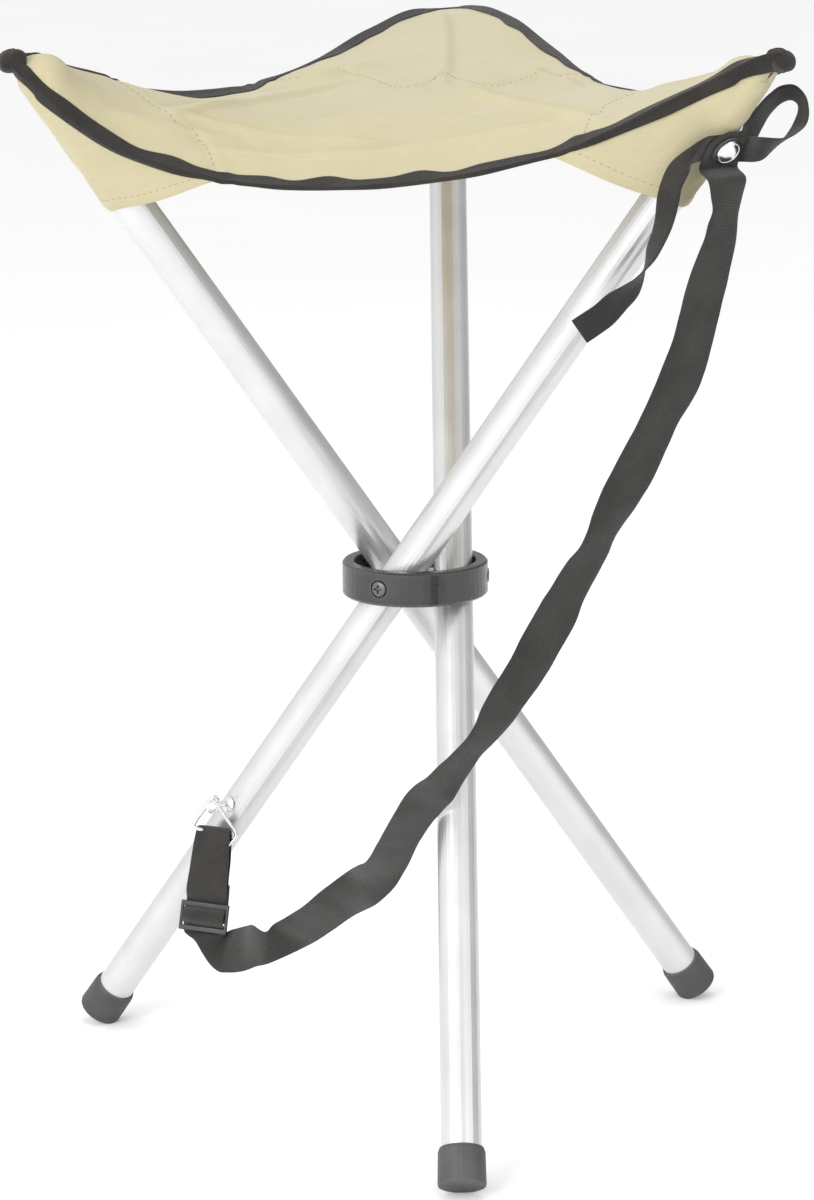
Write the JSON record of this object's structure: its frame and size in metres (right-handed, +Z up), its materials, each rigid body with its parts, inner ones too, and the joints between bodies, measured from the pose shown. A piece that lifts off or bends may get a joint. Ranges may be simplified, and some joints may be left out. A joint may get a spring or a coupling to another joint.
{
  "type": "three leg stool",
  "caption": "Folding camp stool: straight legs cross in a pivot ring and spread a triangular fabric seat, with a webbing carrying strap",
  "frame": {"origin": "middle of the stool's box, on the floor it stands on; the middle of the pivot ring is at (0.9, -7.8, 293.4) mm", "axes": "+Z up, -Y towards the seat edge that faces the picture's camera, +X to that view's right"},
  "size_m": [0.4322, 0.4582, 0.6],
  "materials": {
    "tube": "satin clear anodised",
    "plastic": "moulded, slight sheen",
    "rubber": "moulded, matt",
    "steel": "bright zinc plated",
    "nylon": "moulded, plain",
    "seat_fabric": "close plain-woven polyester",
    "binding": "folded ribbed tape",
    "webbing": "woven flat webbing"
  },
  "bodies": {
    "hub": {"hub_ring": "plastic", "seat_panel": "seat_fabric", "binding_left_right": "binding", "binding_right_back": "binding", "binding_back_left": "binding", "bolt_right": "steel", "nut_right": "steel", "spacer_right": "nylon", "bolt_back": "steel", "nut_back": "steel", "spacer_back": "nylon", "bolt_left": "steel", "nut_left": "steel", "spacer_left": "nylon"},
    "leg_right": {"tube_right": "tube", "end_plug_right": "plastic", "foot_right": "rubber", "pocket_right": "seat_fabric", "carry_strap": "webbing", "closing_strap": "webbing", "strap_slider": "plastic", "strap_triangle": "steel", "triangle_clip": "steel", "strap_stud": "steel"},
    "leg_back": {"tube_back": "tube", "end_plug_back": "plastic", "foot_back": "rubber", "pocket_back": "seat_fabric"},
    "leg_left": {"tube_left": "tube", "end_plug_left": "plastic", "foot_left": "rubber", "pocket_left": "seat_fabric"}
  },
  "joints": [
    {"name": "leg_right_fold", "type": "hinge", "parent": "hub", "child": "leg_right", "pos_m": [-0.00984, -0.02662, 0.29342], "axis": [-0.5, -0.866, 0], "range_deg": [0, 36.4], "deforming": ["seat_panel", "binding_left_right", "binding_right_back", "binding_back_left", "pocket_right", "pocket_back", "pocket_left", "carry_strap", "closing_strap"]},
    {"name": "leg_back_fold", "type": "hinge", "parent": "hub", "child": "leg_back", "pos_m": [0.02286, -0.00774, 0.29342], "axis": [1, 0, 0], "range_deg": [0, 36.4]},
    {"name": "leg_left_fold", "type": "hinge", "parent": "hub", "child": "leg_left", "pos_m": [-0.00984, 0.01114, 0.29342], "axis": [-0.5, 0.866, 0], "range_deg": [0, 36.4]}
  ],
  "couplings": [
    {"joint": "leg_back_fold", "follows": "leg_right_fold", "ratio": 1},
    {"joint": "leg_left_fold", "follows": "leg_right_fold", "ratio": 1}
  ]
}
